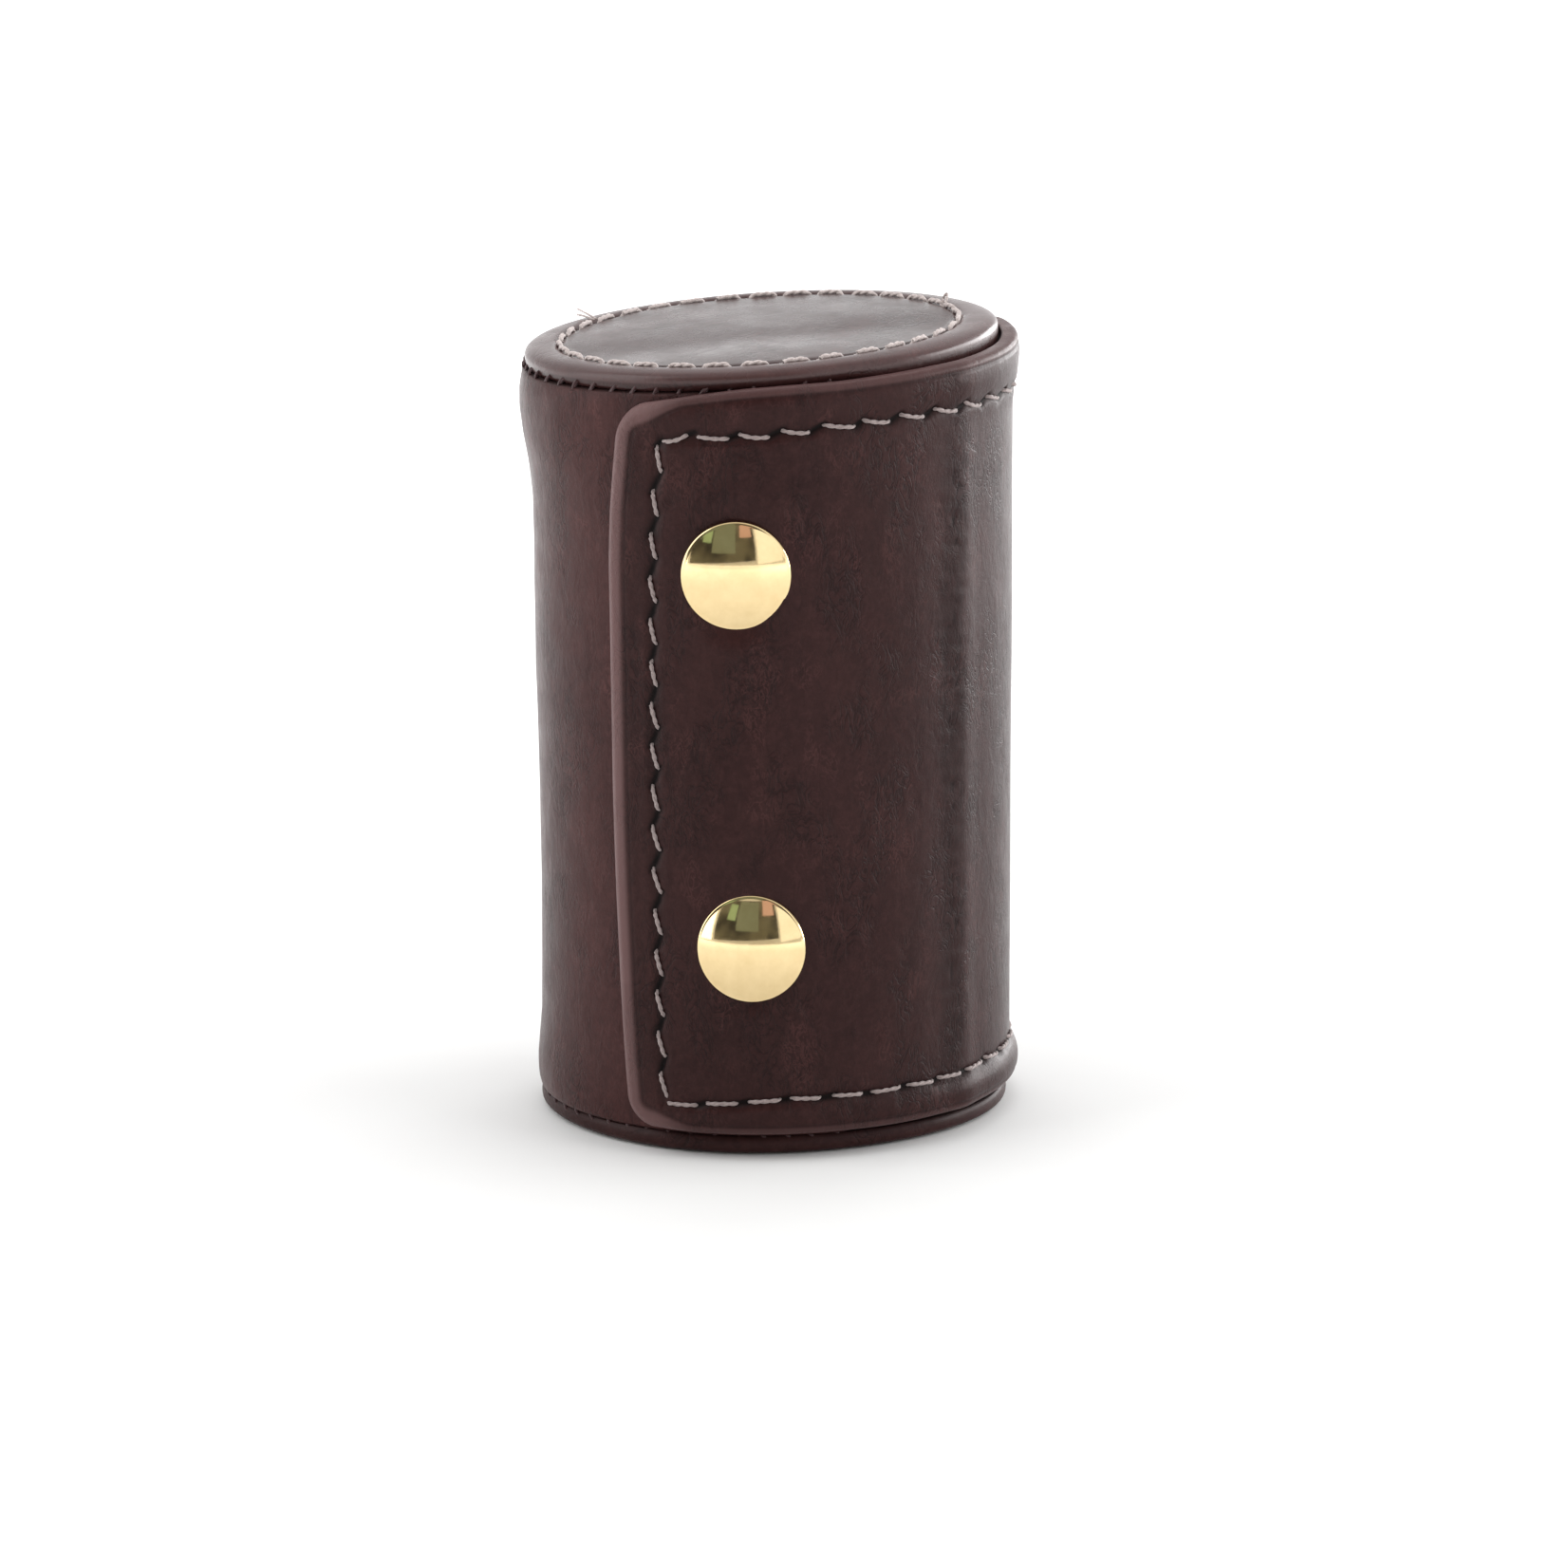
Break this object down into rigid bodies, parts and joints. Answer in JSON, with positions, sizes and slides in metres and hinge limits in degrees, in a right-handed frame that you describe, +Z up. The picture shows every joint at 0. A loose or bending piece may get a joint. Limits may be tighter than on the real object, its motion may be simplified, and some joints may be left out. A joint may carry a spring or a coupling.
{
  "type": "leather dice case",
  "caption": "Round upright leather dice case with stitched end discs and a wrap-round side flap closed by domed snap fasteners.",
  "frame": {"origin": "middle of the base's underside, on the axis of the round case", "axes": "+Z up along the case, -Y towards the front with the two snaps, +X to the right, where the case opens"},
  "size_m": [0.0566, 0.058, 0.0947],
  "materials": {
    "leather": "glazed dark brown leather, fine grain",
    "lining": "thin matt lining leather",
    "board": "grey-brown bookbinding board",
    "thread": "waxed mauve-grey thread",
    "seam_thread": "dark red-brown thread",
    "snap_gold": "polished gold plate",
    "snap_brass": "plain plated brass",
    "spring_wire": "bright spring wire"
  },
  "bodies": {
    "case": {"base_cover": "leather", "base_board": "board", "base_lining": "lining", "base_stitching": "thread", "top_cover": "leather", "top_board": "board", "top_lining": "lining", "top_stitching": "thread", "wall_leather": "leather", "wall_board": "board", "wall_lining": "lining", "wall_edge_stitching": "thread", "top_seam_thread": "seam_thread", "base_seam_thread": "seam_thread", "flap_root_strip": "leather", "flap_root_stitching": "thread", "upper_snap_stud": "snap_brass", "lower_snap_stud": "snap_brass", "upper_snap_post": "snap_brass", "lower_snap_post": "snap_brass"},
    "flap_side": {"flap_side_leather": "leather", "flap_side_stiffener": "board", "flap_side_lining": "lining", "flap_side_stitching": "thread"},
    "flap_front": {"flap_front_leather": "leather", "flap_front_stiffener": "board", "flap_front_lining": "lining", "flap_front_stitching": "thread", "upper_snap_cap": "snap_gold", "lower_snap_cap": "snap_gold", "upper_snap_socket": "snap_brass", "lower_snap_socket": "snap_brass", "upper_snap_spring": "spring_wire", "lower_snap_spring": "spring_wire"}
  },
  "joints": [
    {"name": "flap_root_hinge", "type": "hinge", "parent": "case", "child": "flap_side", "pos_m": [0.02835, 0.0076, 0.047], "axis": [0, 0, 1], "range_deg": [0, 110]},
    {"name": "flap_crease_hinge", "type": "hinge", "parent": "flap_side", "child": "flap_front", "pos_m": [0.02433, -0.01641, 0.047], "axis": [0, 0, 1], "range_deg": [0, 85]}
  ]
}
